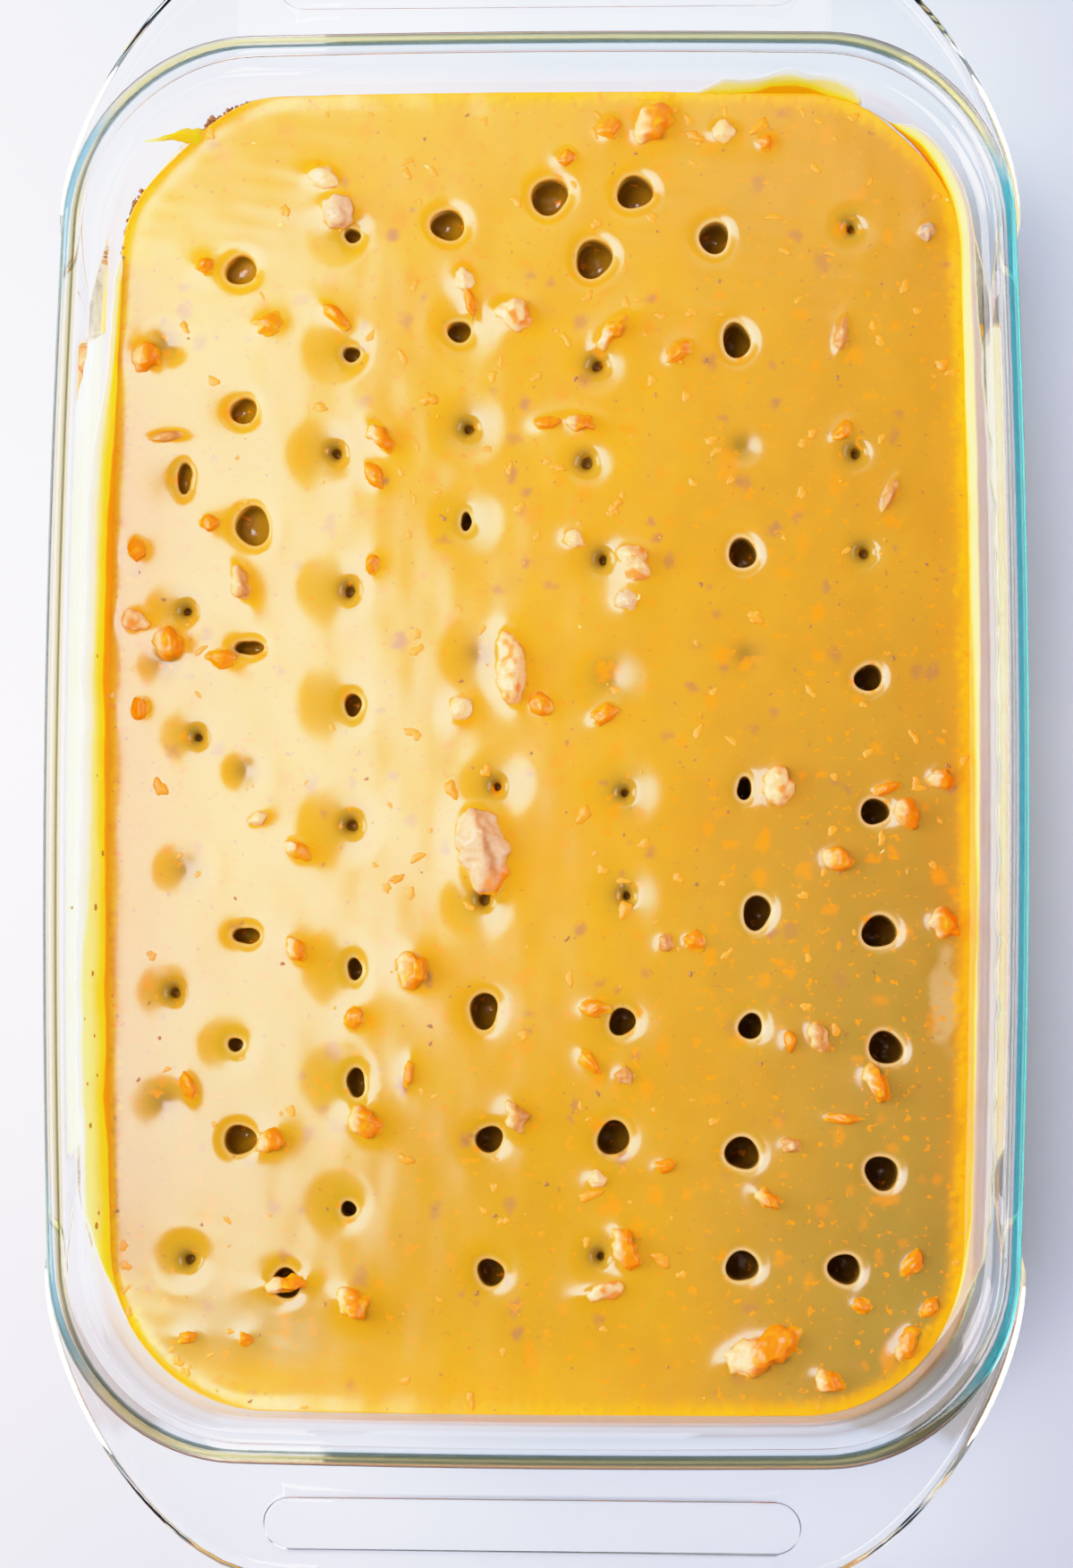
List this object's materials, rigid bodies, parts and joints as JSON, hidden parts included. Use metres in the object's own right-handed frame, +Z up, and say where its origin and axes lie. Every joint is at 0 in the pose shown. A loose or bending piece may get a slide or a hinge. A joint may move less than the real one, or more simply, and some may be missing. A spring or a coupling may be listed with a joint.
{
  "type": "chocolate poke cake in a glass baking dish",
  "caption": "Chocolate sheet cake poked full of holes under caramel sauce with crushed candy, in a clear oblong glass baking dish with a flat handle at each end.",
  "frame": {"origin": "middle of the dish's flat base, on the table", "axes": "+Z up out of the dish, +Y along the dish to its far handle, +X to the right"},
  "size_m": [0.236, 0.4016, 0.058],
  "materials": {
    "glass": "clear pressed glass with a green edge tint, polished",
    "sponge": "moist dark chocolate sponge, open crumb",
    "sauce": "thick glossy caramel and condensed milk sauce",
    "candy_nut": "peanut pieces coated in sauce",
    "candy_pale": "pale crisp candy coated in sauce",
    "candy_orange": "orange crisp candy filling",
    "candy_toffee": "brown candy coating and filling"
  },
  "bodies": {
    "root": {"dish": "glass", "cake": "sponge", "sauce": "sauce", "chunk_01": "candy_nut", "chunk_02": "candy_orange", "chunk_03": "candy_orange", "chunk_04": "candy_pale", "chunk_05": "candy_pale", "chunk_06": "candy_pale", "chunk_07": "candy_orange", "chunk_08": "candy_pale", "chunk_09": "candy_orange", "chunk_10": "candy_orange", "chunk_11": "candy_orange", "chunk_12": "candy_orange", "chunk_13": "candy_orange", "chunk_14": "candy_orange", "chunk_15": "candy_orange", "chunk_16": "candy_orange", "chunk_17": "candy_toffee", "chunk_18": "candy_orange", "chunk_19": "candy_pale", "chunk_20": "candy_orange", "chunk_21": "candy_orange", "chunk_22": "candy_orange", "chunk_23": "candy_orange", "chunk_24": "candy_toffee", "chunk_25": "candy_orange", "chunk_26": "candy_orange", "chunk_27": "candy_orange", "chunk_28": "candy_nut", "chunk_29": "candy_orange", "chunk_30": "candy_orange", "chunk_31": "candy_pale", "chunk_32": "candy_orange", "chunk_33": "candy_orange", "chunk_34": "candy_toffee"}
  },
  "joints": []
}
